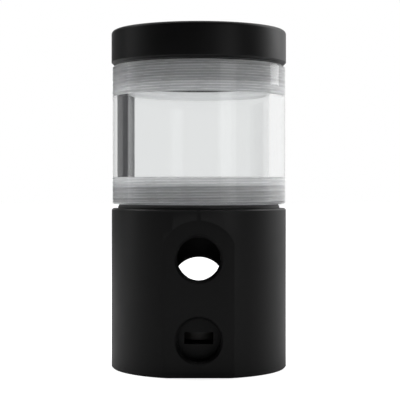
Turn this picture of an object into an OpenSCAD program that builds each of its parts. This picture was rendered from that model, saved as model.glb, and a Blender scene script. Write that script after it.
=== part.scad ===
// Coolant pump reservoir, 50 mm round: clear tank, screwed lid, pump base.
// Z is up and the base stands on z = 0. The two fitting ports face -Y.

/* [Tank] */
// Outside diameter of the clear tube
tube_od = 50; // [48:0.5:60]
// Wall of the clear tube between its threads
tube_wall = 4.5; // [4:0.1:6]
// Length of the clear tube
tube_len = 39.6; // [32:0.2:120]
// Chamfer on both outer ends of the tube
tube_chamfer = 0.5; // [0.2:0.1:1]

/* [Tank threads] */
// Radial step from the tube's bore out to its tapped zones
thread_step = 0.7; // [0.4:0.1:1]
// Pitch of the tank thread
thread_pitch = 1.5; // [1:0.25:2]
// Depth of the tank thread's grooves in the tube
thread_depth = 0.8; // [0.4:0.1:1]
// Depth of the tapped zone at the lower end
thread_zone_low = 7.7; // [7:0.1:12]
// Depth of the tapped zone at the upper end
thread_zone_top = 8.5; // [7:0.1:12]
// Height of each screwed plug, on base and lid
plug_len = 5.9; // [4:0.1:6.5]
// Wall of the base plug around its bore
plug_wall = 3.1; // [2:0.1:4]
// Radial clearance of plug in tapped zone
thread_fit = 0.1; // [0.05:0.01:0.15]

/* [Tank seals] */
// Section of the two tank O-rings
oring_d = 1.8; // [1.5:0.1:2.2]
// Radial distance from plug to O-ring
oring_inset = 0.4; // [0.2:0.1:0.6]
// Open gap that shows the O-ring between base and tube
base_gap = 1.2; // [0.8:0.1:1.3]
// Open gap between tube and lid
lid_gap = 0.4; // [0.2:0.1:0.8]

/* [Lid] */
// How far the lid and base stand out past the tube
lid_overhang = 0.2; // [0:0.05:1]
// Thickness of the lid above the tube
lid_h = 9.8; // [9:0.2:14]
// Round on the top edge of the lid
lid_round = 1.1; // [0.5:0.1:2]
// Chamfer on the lower edge of the lid
lid_chamfer = 0.7; // [0.3:0.1:1]
// Wall of the ring that carries the lid's thread
lid_ring_wall = 3.2; // [2:0.1:5]
// Depth of the lid's inner hollow above its ring
lid_hollow = 1.6; // [0.5:0.1:2.5]

/* [Fill plug] */
// Tapping bore of the fill port
fill_bore_d = 11.8; // [10:0.1:14]
// Diameter of the fill plug's head
fill_head_d = 18; // [16:0.2:22]
// Thickness of the fill plug's head
fill_head_h = 2.4; // [2:0.1:3]
// Section of the fill plug's O-ring
fill_oring_d = 1; // [0.8:0.1:1.2]
// Width of the coin slot
coin_slot_w = 2; // [1.5:0.1:3]

/* [Base] */
// How far the base stands out past the tube
base_overhang = 0.15; // [0:0.05:1]
// Height of the base body
base_h = 45.7; // [44:0.2:60]
// Chamfer on the upper and lower edges of the base
base_chamfer = 0.4; // [0.2:0.1:1]
// Depth of the milled flat for the fittings
pad_depth = 1.95; // [1.5:0.05:2.5]
// Radius of the flat's round head
pad_r = 10.6; // [10:0.1:13]
// Round at the floor of the suction chamber
chamber_round = 2; // [0.5:0.1:3]

/* [Ports] */
// Tapping bore of the two front ports
port_bore_d = 11.9; // [10:0.1:12.5]
// Diameter of the countersink at the front ports
port_mouth_d = 13.2; // [13:0.1:15]
// Height of the lower, outlet port
port_low_z = 10.1; // [9.5:0.1:10.7]
// Distance from lower to upper port
port_pitch = 22.1; // [20:0.1:24]
// Bore of the rear port
rear_bore_d = 16.5; // [14:0.1:17]
// Diameter of the countersink at the rear port
rear_mouth_d = 18.2; // [17.5:0.1:19]
// Height of the rear port
rear_port_z = 22.2; // [21.5:0.1:24]

/* [Pump] */
// Radial step from the suction chamber in to the motor's bore
motor_step = 3; // [2.8:0.1:3.5]
// Height of the volute
volute_h = 7.8; // [7:0.1:8.2]
// Web between volute and suction chamber
web_t = 2.5; // [2:0.1:3.5]
// Diameter of the suction eye in the web
eye_d = 10; // [8:0.1:11]
// Land left on the can's seat outside the volute
volute_land = 0.4; // [0.3:0.1:1]
// Growth of the volute's radius from tongue to throat
volute_growth = 2.3; // [1.5:0.1:3]
// Radial gap between the impeller and the volute's tongue
tip_gap = 1.3; // [1:0.1:2]
// Width of the volute's throat
throat_w = 8; // [6:0.1:9]
// Height of the volute's throat
throat_h = 3.3; // [2.5:0.1:4.5]
// Number of impeller blades
blade_count = 6; // [4:1:8]
// Thickness of one impeller blade
blade_t = 1; // [0.8:0.1:1.4]
// Height of the impeller blades
blade_h = 2.8; // [2:0.1:3.2]
// Diameter of the shaft
shaft_d = 2.5; // [2:0.1:3]
// Radial clearance of bush on shaft
shaft_fit = 0.05; // [0.02:0.01:0.1]
// Height of the ring magnet
magnet_h = 2.2; // [1.8:0.1:2.4]
// Plastic left between the hub and the ring magnet
magnet_land = 2.3; // [1.5:0.1:3]

/* [Motor] */
// Wall of the motor can
can_wall = 2; // [1.8:0.1:2.4]
// Thickness of the diaphragm between water and stator
diaphragm_t = 1; // [0.8:0.1:1.4]
// Section of the motor can's O-ring
can_oring_d = 1.3; // [1:0.1:1.5]
// Gap between neighbouring coils
coil_gap = 0.45; // [0.3:0.05:1]
// Height of one coil
coil_h = 1.7; // [1.4:0.1:2]
// Thickness of the stator's yoke
yoke_t = 0.8; // [0.6:0.1:1]
// Thickness of the circuit board
board_t = 0.9; // [0.8:0.1:1.2]
// Space for the parts under the circuit board
board_space = 1; // [0.9:0.1:1.3]

/* [Bottom] */
// Width of the base's standing rim
rim_w = 5.3; // [5:0.1:6]
// How far the cover lies above the standing face
cover_recess = 0.3; // [0.2:0.1:0.6]
// Thickness of the bottom cover
cover_t = 2; // [1.6:0.1:2.2]
// Shank diameter of a cover screw
cover_screw_d = 2.4; // [2:0.1:2.6]
// Length of a cover screw under its head's face
cover_screw_len = 8; // [6:0.2:9]
// Head diameter of a cover screw
cover_head_d = 4.4; // [4:0.1:4.8]
// Tapping bore of the four mounting holes
mount_bore_d = 2.5; // [2:0.1:3]
// Depth of the mounting holes
mount_depth = 8; // [5:0.5:10]
// Width of the cable notch
cable_notch_w = 4; // [3.4:0.1:4.4]
// Diameter of the cable hole in its grommet
cable_d = 2.6; // [2:0.1:2.8]

/* [Hidden] */
$fn = 96;

// Copies that have a node each
coil_count = 6;
cover_screw_count = 4;

// Overlap that lets a cutter run clear of a face
eps = 0.2;
// Gap between pieces that are seated on each other
seat = 0.02;
// Radial clearance of a piece that is dropped into a bore
slip = 0.1;
// How far joined shapes of one piece run into each other
bite = 0.1;

// Tank radii
tube_r = tube_od / 2;
tube_bore_r = tube_r - tube_wall;
tapped_r = tube_bore_r + thread_step;
plug_r = tapped_r - thread_fit;
chamber_r = plug_r - plug_wall;
ring_mean_r = plug_r + oring_inset + oring_d / 2;

// Heights, from the standing face up
tube_z = base_h + base_gap;
tube_top_z = tube_z + tube_len;
lid_z = tube_top_z + lid_gap;
total_h = lid_z + lid_h;

// Base radii and the milled flat
base_r = tube_r + base_overhang;
pad_y = -(base_r - pad_depth);
port_high_z = port_low_z + port_pitch;

// Stack of pump and motor, from the bottom cover up
ledge_z = cover_recess + cover_t;
board_z = ledge_z + board_space;
yoke_z = board_z + board_t + 0.05;
coil_z = yoke_z + yoke_t + seat;
diaphragm_z = coil_z + coil_h + 0.4;
can_top_z = diaphragm_z + diaphragm_t;
volute_z = can_top_z + seat;
web_z = volute_z + volute_h;
floor_z = web_z + web_t;
throat_z = volute_z + 0.2;

// Motor can and its seal
motor_r = chamber_r - motor_step;
can_r = motor_r - slip;
can_bore_r = can_r - can_wall;
can_ring_z = can_top_z - 1.5;
can_groove_h = can_oring_d + 0.3;
boss_r = 2.4;
boss_top_z = can_top_z + 0.3;

// Volute and impeller radii
volute_r1 = motor_r - volute_land;
volute_r0 = volute_r1 - volute_growth;
impeller_r = volute_r0 - tip_gap;

// Rotor stack
shaft_r = shaft_d / 2;
washer_t = 0.35;
rotor_z = boss_top_z + washer_t + 0.1;
rotor_disc_h = magnet_h + 0.9;
blade_z = rotor_z + rotor_disc_h;
blade_top_z = blade_z + blade_h;
clip_z = blade_top_z + 0.2;
clip_t = 0.5;
shaft_top_z = clip_z + clip_t + 0.4;
bush_r = shaft_r + 1.15;
hub_r = bush_r + 0.8;
magnet_out_r = impeller_r - 0.7;
magnet_in_r = hub_r + magnet_land;
blade_in_r = hub_r + 0.9;
blade_sweep = 52;
blade_bend_r = 9;

// Stator
coil_ring_r = (can_bore_r + boss_r) / 2;
coil_d = 2 * coil_ring_r * sin(180 / coil_count) - coil_gap;
tooth_r = coil_d / 5;
board_r = can_bore_r - 0.3;

// Bottom
cover_pocket_r = base_r - rim_w;
cover_r = cover_pocket_r - slip;
cover_screw_r = (cover_pocket_r + motor_r) / 2;
mount_r = base_r - rim_w / 2;
mount_angles = [30, 150, 210, 330];
notch_r = cable_notch_w / 2;
notch_z = can_ring_z - can_groove_h / 2 - 0.5 - notch_r;
grommet_flange_w = cable_notch_w + 2.4;
grommet_flange_t = 1.2;
grommet_in_y = motor_r + 1.5;

// Fill plug
fill_bore_r = fill_bore_d / 2;
fill_head_r = fill_head_d / 2;
fill_gap = 0.2;
fill_seat_z = total_h - fill_head_h - fill_gap;
fill_ring_r = (fill_bore_r + fill_head_r - 2 * slip - 2 * seat) / 2;
fill_groove_h = fill_oring_d + 2 * seat - fill_gap;
fill_stud_len = lid_h - lid_hollow - fill_head_h - 1;

// A point at radius r and angle a, in the plane
function polar(r, a) = [r * cos(a), r * sin(a)];

// Places copies around Z, one at each angle
module around(angles, r) {
    for (a = angles) {
        rotate([0, 0, a]) translate([r, 0, 0]) children();
    }
}

// Lays a cylinder along -Y from its inner end to its outer end
module bore_y(d, y_in, y_out, z) {
    translate([0, y_in, z]) rotate([90, 0, 0]) cylinder(h = y_in - y_out, d = d);
}

// Round ring with a round section, lying flat
module o_ring(mean_r, section_d, z) {
    translate([0, 0, z]) rotate_extrude() translate([mean_r, 0]) circle(d = section_d);
}

// Flat ring
module washer(outer_r, inner_r, h, z) {
    translate([0, 0, z]) difference() {
        cylinder(h = h, r = outer_r);
        translate([0, 0, -eps]) cylinder(h = h + 2 * eps, r = inner_r);
    }
}

// Square-section ring cutter
module ring_groove(outer_r, inner_r, h, z) {
    translate([0, 0, z]) rotate_extrude() translate([inner_r, 0]) square([outer_r - inner_r, h]);
}

// ---------------------------------------------------------------- base

// Turned outline of the base with its screwed plug
module base_form() {
    plug_top = tube_z + plug_len;
    rotate_extrude() polygon([
        [0, 0], [base_r - base_chamfer, 0], [base_r, base_chamfer],
        [base_r, base_h - base_chamfer], [base_r - base_chamfer, base_h],
        [plug_r, base_h], [plug_r, plug_top - 0.5], [plug_r - 0.5, plug_top], [0, plug_top]
    ]);
}

// Bore of the suction chamber, with a round at its floor
module chamber_cut() {
    depth = tube_z + plug_len - floor_z + eps;
    translate([0, 0, floor_z]) rotate_extrude() {
        square([chamber_r - chamber_round, depth]);
        translate([0, chamber_round]) square([chamber_r, depth - chamber_round]);
        translate([chamber_r - chamber_round, chamber_round]) circle(r = chamber_round);
    }
}

// Suction eye through the web, with a lead-in at its upper edge
module eye_cut() {
    lead = 1;
    translate([0, 0, web_z - eps]) cylinder(h = web_t + 2 * eps, d = eye_d);
    translate([0, 0, floor_z - lead]) cylinder(h = lead + eps, d1 = eye_d, d2 = eye_d + 2 * (lead + eps));
}

// Spiral of the volute: its radius grows once around from the tongue
module volute_cut() {
    tongue = 292;
    step = 6;
    spiral = [for (a = [0 : step : 360]) polar(volute_r0 + (volute_r1 - volute_r0) * a / 360, tongue + a)];
    translate([0, 0, volute_z - eps]) linear_extrude(volute_h + eps) polygon(spiral);
}

// Slot that leads from the volute to the lower port
module throat_cut() {
    y_in = -(volute_r0 - 2);
    translate([-throat_w / 2, -motor_r - 2.2, throat_z]) cube([throat_w, y_in + motor_r + 2.2, throat_h]);
}

// Bore for the motor can, from the bottom
module motor_cut() {
    translate([0, 0, -eps]) cylinder(h = can_top_z + seat + eps, r = motor_r);
    translate([0, 0, ledge_z - eps]) cylinder(h = 0.5 + eps, r1 = motor_r + 0.5 + eps, r2 = motor_r);
}

// Recess for the bottom cover
module cover_cut() {
    translate([0, 0, -eps]) cylinder(h = ledge_z + eps, r = cover_pocket_r);
}

// Countersunk front port, from the flat to y_in
module front_port_cut(z, y_in) {
    flare = (port_mouth_d - port_bore_d) / 2;
    bore_y(port_bore_d, y_in, pad_y - eps, z);
    translate([0, pad_y + flare, z]) rotate([90, 0, 0])
        cylinder(h = flare + eps, d1 = port_bore_d, d2 = port_mouth_d + 2 * eps);
}

// Countersunk rear port into the suction chamber
module rear_port_cut() {
    crown = 0.6;
    flare = (rear_mouth_d - rear_bore_d) / 2 + crown + eps;
    depth_y = sqrt(chamber_r * chamber_r - rear_bore_d * rear_bore_d / 4) - bite;
    bore_y(rear_bore_d, base_r + eps, depth_y, rear_port_z);
    translate([0, base_r + eps, rear_port_z]) rotate([90, 0, 0])
        cylinder(h = flare, d1 = rear_bore_d + 2 * flare, d2 = rear_bore_d);
}

// Milled flat with a round head, for the two fittings
module pad_cut() {
    depth = pad_depth + 2;
    translate([0, pad_y, 0]) rotate([90, 0, 0]) linear_extrude(depth) {
        translate([-pad_r, -eps]) square([2 * pad_r, port_high_z + eps]);
        translate([0, port_high_z]) circle(r = pad_r);
    }
}

// Small engraved wedge above the flat that marks the front
module mark_cut() {
    low = port_high_z + pad_r - 0.3;
    translate([0, -base_r + 0.35, 0]) rotate([90, 0, 0]) linear_extrude(1)
        polygon([[-0.6, low], [0.6, low], [0.25, base_h + eps], [-0.25, base_h + eps]]);
}

// Notch for the cable and its grommet at the rear of the rim
module notch_profile(half_w, z_low) {
    translate([-half_w, z_low]) square([2 * half_w, notch_z - z_low]);
    intersection() {
        translate([0, notch_z]) circle(r = half_w);
        translate([-half_w, z_low]) square([2 * half_w, notch_z + half_w - z_low]);
    }
}

// Notch along +Y between two distances from the axis
module notch_y(half_w, z_low, y_in, y_out) {
    translate([0, y_out, 0]) rotate([90, 0, 0]) linear_extrude(y_out - y_in) notch_profile(half_w, z_low);
}

// All of the cable's way through the base
module cable_cut() {
    flange_y = (cover_pocket_r + grommet_in_y) / 2;
    notch_y(notch_r, -eps, motor_r - 1, base_r + eps);
    notch_y(grommet_flange_w / 2, ledge_z - eps, flange_y - grommet_flange_t / 2 - slip,
            flange_y + grommet_flange_t / 2 + slip);
}

// Tapped holes of the cover screws and of the four mounting screws
module base_screw_cuts() {
    translate([0, 0, ledge_z - eps])
        around(cover_screw_angles(), cover_screw_r) cylinder(h = cover_screw_len, d = cover_screw_d + 2 * seat);
    translate([0, 0, -eps]) around(mount_angles, mount_r) cylinder(h = mount_depth + eps, d = mount_bore_d);
}

// Angles of the cover screws, half a step off the cable notch
function cover_screw_angles() = [for (i = [0 : cover_screw_count - 1]) 45 + i * 360 / cover_screw_count];

module base_housing() {
    groove_h = oring_d - base_gap;
    color("#1d1c1e") difference() {
        base_form();
        chamber_cut();
        eye_cut();
        volute_cut();
        throat_cut();
        motor_cut();
        cover_cut();
        front_port_cut(port_high_z, -chamber_r + 2);
        front_port_cut(port_low_z, -motor_r - 1.6);
        rear_port_cut();
        pad_cut();
        mark_cut();
        cable_cut();
        base_screw_cuts();
        ring_groove(ring_mean_r + oring_d / 2 + seat, ring_mean_r - oring_d / 2 - seat,
                    groove_h + seat + eps, base_h - groove_h - seat);
    }
}

module base_oring() {
    color("#0c0c0c") o_ring(ring_mean_r, oring_d, base_h + base_gap - oring_d / 2 - seat);
}

// ---------------------------------------------------------------- tank

// Grooves of the tank thread as plain rings, from height z on in steps of the pitch
function thread_grooves(z, count, step) = [
    for (i = [0 : count - 1], point = [[0, 0.1], [thread_depth, 0.5], [0, 0.9]])
        [tapped_r + point[0], z + step * (i + point[1])]
];

// Tube with a tapped zone at each end; its threads have no lead here, so that the lid can be lifted
module tube() {
    lead = 0.6;
    low_turns = floor((thread_zone_low - lead) / thread_pitch);
    top_turns = floor((thread_zone_top - lead) / thread_pitch);
    color("#dfe6ea", 0.4) translate([0, 0, tube_z]) rotate_extrude() polygon(concat(
        [[tapped_r + lead, 0], [tube_r - tube_chamfer, 0], [tube_r, tube_chamfer],
         [tube_r, tube_len - tube_chamfer], [tube_r - tube_chamfer, tube_len],
         [tapped_r + lead, tube_len], [tapped_r, tube_len - lead]],
        thread_grooves(tube_len - lead, top_turns, -thread_pitch),
        [[tapped_r, tube_len - thread_zone_top], [tube_bore_r, tube_len - thread_zone_top],
         [tube_bore_r, thread_zone_low], [tapped_r, thread_zone_low]],
        thread_grooves(lead + low_turns * thread_pitch, low_turns, -thread_pitch),
        [[tapped_r, lead]]
    ));
}

// Turned outline of the lid with its screwed ring
module lid_form() {
    outer_r = tube_r + lid_overhang;
    ring_low = tube_top_z - plug_len;
    ring_in_r = plug_r - lid_ring_wall;
    hollow_z = lid_z + lid_hollow;
    rotate_extrude() {
        polygon([
            [0, hollow_z], [ring_in_r, hollow_z], [ring_in_r, ring_low],
            [plug_r - 0.5, ring_low], [plug_r, ring_low + 0.5], [plug_r, lid_z],
            [outer_r - lid_chamfer, lid_z], [outer_r, lid_z + lid_chamfer],
            [outer_r, total_h - lid_round], [outer_r - lid_round, total_h], [0, total_h]
        ]);
        translate([outer_r - lid_round, total_h - lid_round]) circle(r = lid_round);
    }
}

module lid() {
    groove_h = oring_d - lid_gap;
    color("#141315") difference() {
        lid_form();
        ring_groove(ring_mean_r + oring_d / 2 + seat, ring_mean_r - oring_d / 2 - seat,
                    groove_h + eps + 2 * seat, lid_z - eps);
        translate([0, 0, lid_z]) cylinder(h = lid_h + eps, r = fill_bore_r);
        translate([0, 0, fill_seat_z]) cylinder(h = total_h - fill_seat_z + eps, r = fill_head_r + slip);
    }
}

module lid_oring() {
    color("#0c0c0c") o_ring(ring_mean_r, oring_d, tube_top_z + oring_d / 2 + seat);
}

// Flush plug with a coin slot
module fill_plug() {
    head_z = fill_seat_z + fill_gap;
    stud_r = fill_bore_r - slip;
    edge = 0.4;
    slot_depth = 1.3;
    color("#1a191b") difference() {
        union() {
            translate([0, 0, head_z]) cylinder(h = fill_head_h - edge, r = fill_head_r);
            translate([0, 0, total_h - edge]) cylinder(h = edge, r1 = fill_head_r, r2 = fill_head_r - edge);
            translate([0, 0, head_z - fill_stud_len]) cylinder(h = fill_stud_len + bite, r = stud_r);
        }
        translate([-fill_head_r * 0.65, -coin_slot_w / 2, total_h - slot_depth])
            cube([fill_head_r * 1.3, coin_slot_w, slot_depth + eps]);
        ring_groove(fill_ring_r + fill_oring_d / 2 + seat, fill_ring_r - fill_oring_d / 2 - seat,
                    fill_groove_h + eps, head_z - eps);
    }
}

module fill_plug_oring() {
    color("#0c0c0c") o_ring(fill_ring_r, fill_oring_d, fill_seat_z + fill_oring_d / 2 + seat);
}

// ---------------------------------------------------------------- pump

// Cup that keeps the coolant from the stator; its boss holds the shaft
module motor_can() {
    color("#3a3b3f") difference() {
        union() {
            difference() {
                translate([0, 0, ledge_z]) cylinder(h = can_top_z - ledge_z, r = can_r);
                translate([0, 0, ledge_z - eps]) cylinder(h = diaphragm_z - ledge_z + eps, r = can_bore_r);
                ring_groove(can_r + eps, motor_r - can_oring_d - seat, can_groove_h,
                            can_ring_z - can_groove_h / 2);
            }
            translate([0, 0, yoke_z]) cylinder(h = boss_top_z - yoke_z, r = boss_r);
        }
        translate([0, 0, yoke_z + 0.6]) cylinder(h = boss_top_z - yoke_z, r = shaft_r + seat);
        notch_y(notch_r, ledge_z - eps, can_bore_r - 1, can_r + eps);
    }
}

module motor_can_oring() {
    color("#0c0c0c") o_ring(motor_r - can_oring_d / 2 - seat / 2, can_oring_d - seat, can_ring_z);
}

module shaft() {
    low = yoke_z + 0.6 + seat;
    color("#d8d6cf") difference() {
        union() {
            translate([0, 0, low]) cylinder(h = shaft_top_z - low - 0.2, r = shaft_r);
            translate([0, 0, shaft_top_z - 0.2]) cylinder(h = 0.2, r1 = shaft_r, r2 = shaft_r - 0.2);
        }
        ring_groove(shaft_r + eps, shaft_r - 0.3, clip_t + 2 * seat, clip_z - seat);
    }
}

module thrust_washer() {
    color("#c9a86a") washer(boss_r, shaft_r + seat, washer_t, boss_top_z + seat);
}

// Snap ring in the shaft's groove that keeps the rotor down
module shaft_clip() {
    inner_r = shaft_r - 0.3 + seat;
    color("#b9bcc0") difference() {
        washer(shaft_r + 0.9, inner_r, clip_t, clip_z);
        translate([0, -inner_r * 0.8, clip_z - eps]) cube([shaft_r + 2, inner_r * 1.6, clip_t + 2 * eps]);
    }
}

// Centre of the arc with radius bend through two points of a blade
function blade_centre(p, q, bend) = let (
    d = q - p,
    span = norm(d),
    lift = sqrt(bend * bend - span * span / 4)
) (p + q) / 2 + lift * [d[1], -d[0]] / span;

// Backswept blade: an arc from the hub to the rim with an even thickness
module blade() {
    rim_r = impeller_r - blade_t / 2;
    p = polar(blade_in_r, 0);
    q = polar(rim_r, -blade_sweep);
    c = blade_centre(p, q, blade_bend_r);
    from = atan2(p[1] - c[1], p[0] - c[0]);
    to = atan2(q[1] - c[1], q[0] - c[0]);
    steps = 8;
    outer = [for (i = [0 : steps]) c + polar(blade_bend_r + blade_t / 2, from + (to - from) * i / steps)];
    inner = [for (i = [steps : -1 : 0]) c + polar(blade_bend_r - blade_t / 2, from + (to - from) * i / steps)];
    translate([0, 0, blade_z - bite]) linear_extrude(blade_h + bite) polygon(concat(outer, inner));
}

// Semi-open wheel: magnet carrier below, backswept blades above
module impeller() {
    color("#e8e4d8") difference() {
        union() {
            translate([0, 0, rotor_z]) cylinder(h = rotor_disc_h, r = impeller_r);
            translate([0, 0, blade_z - bite]) cylinder(h = blade_h + bite, r1 = hub_r + 0.6, r2 = hub_r);
            for (i = [0 : blade_count - 1]) {
                rotate([0, 0, i * 360 / blade_count]) blade();
            }
        }
        translate([0, 0, rotor_z - eps]) cylinder(h = blade_top_z - rotor_z + 2 * eps, r = bush_r + seat);
        ring_groove(magnet_out_r + seat, magnet_in_r - seat, magnet_h + eps + seat, rotor_z - eps);
    }
}

module ring_magnet() {
    color("#53565b") washer(magnet_out_r, magnet_in_r, magnet_h, rotor_z);
}

module impeller_bush() {
    color("#4a4744") washer(bush_r, shaft_r + shaft_fit, blade_top_z - rotor_z, rotor_z);
}

// ---------------------------------------------------------------- motor

// Back iron with one tooth for each coil
module stator_yoke() {
    color("#8d9196") {
        washer(board_r, boss_r + slip, yoke_t, yoke_z);
        translate([0, 0, yoke_z]) around([for (i = [0 : coil_count - 1]) i * 360 / coil_count], coil_ring_r)
            cylinder(h = yoke_t + coil_h + 0.1, r = tooth_r);
    }
}

// Wound coil on its tooth, with rounded outer edges
module coil(i) {
    edge = 0.4;
    half_w = (coil_d / 2 - tooth_r - slip);
    color("#b4632d") rotate([0, 0, i * 360 / coil_count]) translate([coil_ring_r, 0, coil_z])
        rotate_extrude() translate([tooth_r + slip, 0]) polygon([
            [0, 0], [half_w - edge, 0], [half_w, edge], [half_w, coil_h - edge],
            [half_w - edge, coil_h], [0, coil_h]
        ]);
}

// Round board with a hole for the boss and a flat side at the cable
module circuit_board() {
    flat_y = board_r - 1.2;
    color("#1f5a38") difference() {
        translate([0, 0, board_z]) cylinder(h = board_t, r = board_r);
        translate([0, 0, board_z - eps]) cylinder(h = board_t + 2 * eps, r = boss_r + slip);
        translate([-board_r, flat_y, board_z - eps]) cube([2 * board_r, board_r, board_t + 2 * eps]);
    }
}

// Chip, sensor or capacitor under the board, by its middle and size
module board_part(x, y, size) {
    translate([x - size[0] / 2, y - size[1] / 2, board_z - seat - size[2]]) cube(size);
}

module driver_chip() {
    color("#202124") board_part(-board_r * 0.55, 0, [5, 5, board_space - 0.25]);
}

module hall_sensor() {
    color("#2c2d31") board_part(0, -board_r * 0.6, [3, 2.4, board_space - 0.3]);
}

module smoothing_capacitor() {
    color("#a98b5e") board_part(board_r * 0.55, 0, [2.4, 4.5, board_space - 0.3]);
}

// ---------------------------------------------------------------- bottom

module bottom_cover() {
    sink = (cover_head_d - cover_screw_d) / 2;
    color("#2a2a2c") difference() {
        translate([0, 0, cover_recess]) cylinder(h = cover_t - seat, r = cover_r);
        translate([0, 0, cover_recess]) around(cover_screw_angles(), cover_screw_r) {
            translate([0, 0, -eps]) cylinder(h = cover_t + 2 * eps, d = cover_screw_d + 2 * slip);
            translate([0, 0, -eps]) cylinder(h = sink + slip + eps, d2 = cover_screw_d + 2 * slip,
                                             d1 = cover_screw_d + 2 * (sink + 2 * slip + eps));
        }
    }
}

// Countersunk screw with a hexagon socket
module cover_screw(i) {
    sink = (cover_head_d - cover_screw_d) / 2;
    low = cover_recess + slip;
    angle = cover_screw_angles()[i];
    color("#9b9da0") rotate([0, 0, angle]) translate([cover_screw_r, 0, low]) difference() {
        union() {
            cylinder(h = sink, d1 = cover_head_d, d2 = cover_screw_d);
            cylinder(h = cover_screw_len, d = cover_screw_d);
        }
        translate([0, 0, -eps]) cylinder(h = 0.9 + eps, d = 1.7, $fn = 6);
    }
}

// Rubber grommet that fills the notch, with a flange that locks it
module cable_grommet() {
    flange_y = (cover_pocket_r + grommet_in_y) / 2;
    low = ledge_z + slip;
    color("#101011") intersection() {
        difference() {
            union() {
                notch_y(notch_r - slip, cover_recess, cover_pocket_r + slip, base_r);
                notch_y(notch_r - slip, low, grommet_in_y, base_r);
                notch_y(grommet_flange_w / 2 - slip, low, flange_y - grommet_flange_t / 2,
                        flange_y + grommet_flange_t / 2);
            }
            translate([0, base_r + eps, notch_z]) rotate([90, 0, 0])
                cylinder(h = base_r - grommet_in_y + 2 * eps, d = cable_d);
        }
        cylinder(h = base_h, r = base_r);
    }
}

base_housing();
base_oring();
tube();
lid();
lid_oring();
fill_plug();
fill_plug_oring();
motor_can();
motor_can_oring();
shaft();
thrust_washer();
shaft_clip();
impeller();
ring_magnet();
impeller_bush();
stator_yoke();
coil(0);  // coil_1
coil(1);  // coil_2
coil(2);  // coil_3
coil(3);  // coil_4
coil(4);  // coil_5
coil(5);  // coil_6
circuit_board();
driver_chip();
hall_sensor();
smoothing_capacitor();
bottom_cover();
cover_screw(0);  // cover_screw_1
cover_screw(1);  // cover_screw_2
cover_screw(2);  // cover_screw_3
cover_screw(3);  // cover_screw_4
cable_grommet();
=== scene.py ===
"""Coolant pump reservoir: its visible pieces, finishes, studio and camera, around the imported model."""
import logging
import math
from dataclasses import dataclass, field
from enum import Enum
from typing import Any, Callable, Sequence, Union

import bmesh
import bpy
from mathutils import Matrix, Vector


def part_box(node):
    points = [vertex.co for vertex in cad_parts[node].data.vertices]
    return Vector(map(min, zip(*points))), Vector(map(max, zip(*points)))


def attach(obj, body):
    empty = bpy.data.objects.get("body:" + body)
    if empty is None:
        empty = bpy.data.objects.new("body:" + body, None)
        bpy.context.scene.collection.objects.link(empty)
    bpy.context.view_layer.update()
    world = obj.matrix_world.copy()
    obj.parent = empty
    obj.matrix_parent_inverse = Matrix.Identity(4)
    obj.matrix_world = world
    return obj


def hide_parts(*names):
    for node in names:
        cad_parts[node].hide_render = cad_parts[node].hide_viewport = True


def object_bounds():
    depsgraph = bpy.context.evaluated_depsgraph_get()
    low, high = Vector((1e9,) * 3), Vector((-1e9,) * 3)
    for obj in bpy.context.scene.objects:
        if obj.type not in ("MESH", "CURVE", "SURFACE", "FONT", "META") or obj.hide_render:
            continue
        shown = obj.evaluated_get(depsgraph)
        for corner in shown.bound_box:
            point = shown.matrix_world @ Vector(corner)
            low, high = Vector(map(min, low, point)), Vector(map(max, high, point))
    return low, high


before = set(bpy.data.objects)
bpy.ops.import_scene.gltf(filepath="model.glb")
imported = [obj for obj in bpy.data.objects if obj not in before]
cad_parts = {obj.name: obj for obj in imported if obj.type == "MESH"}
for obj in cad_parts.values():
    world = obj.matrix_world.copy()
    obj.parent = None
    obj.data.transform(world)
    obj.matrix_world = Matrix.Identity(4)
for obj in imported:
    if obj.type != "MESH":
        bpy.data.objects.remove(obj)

CAD_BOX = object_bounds()
MM = 0.001
TURN = 2.0 * math.pi
BLOTCH_MM = 9.0
GLOSS_SPREAD = 0.15
THREAD_SHARP_DEG = 20.0
SHARP_DEG = 28.0
WHITE = "FFFFFF"

log = logging.getLogger("reservoir")

Radius = Union[float, Callable[[float, float], float]]


# ------------------------------------------------------------------ small tools


def linear(hex_colour: str) -> tuple[float, float, float, float]:
    """Turn an sRGB hex colour into linear values.

    Args:
        hex_colour: six hex digits, without a hash sign.

    Returns:
        Red, green, blue and an alpha of one, all linear.
    """
    channels = [int(hex_colour[i:i + 2], 16) / 255.0 for i in (0, 2, 4)]
    flat = [c / 12.92 if c <= 0.04045 else ((c + 0.055) / 1.055) ** 2.4 for c in channels]
    return flat[0], flat[1], flat[2], 1.0


def add_node(tree: bpy.types.NodeTree, kind: str, settings: dict[str, Any] | None = None,
             links: dict[str, Any] | None = None) -> bpy.types.Node:
    """Add one shader node, with its settings and its incoming links.

    Args:
        tree: node tree that gets the node.
        kind: the node's type without its "ShaderNode" prefix.
        settings: attribute or input names with their values; a digit string means an input's place.
        links: input names or places with the output socket that feeds each.

    Returns:
        The new node.
    """
    node = tree.nodes.new("ShaderNode" + kind)
    for name, value in (settings or {}).items():
        if name.isdigit():
            node.inputs[int(name)].default_value = value
        elif name in node.inputs:
            node.inputs[name].default_value = value
        else:
            setattr(node, name, value)
    for name, socket in (links or {}).items():
        tree.links.new(socket, node.inputs[int(name) if name.isdigit() else name])
    return node


def wave_scale(period_mm: float) -> float:
    """Return the Wave texture scale whose bands are period_mm apart in metre coordinates."""
    return TURN / (20.0 * period_mm * MM)


def noise_scale(grain_mm: float) -> float:
    """Return the Noise texture scale whose grains are about grain_mm wide in metre coordinates."""
    return 1.0 / (grain_mm * MM)


# ------------------------------------------------------------------ finishes


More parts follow.
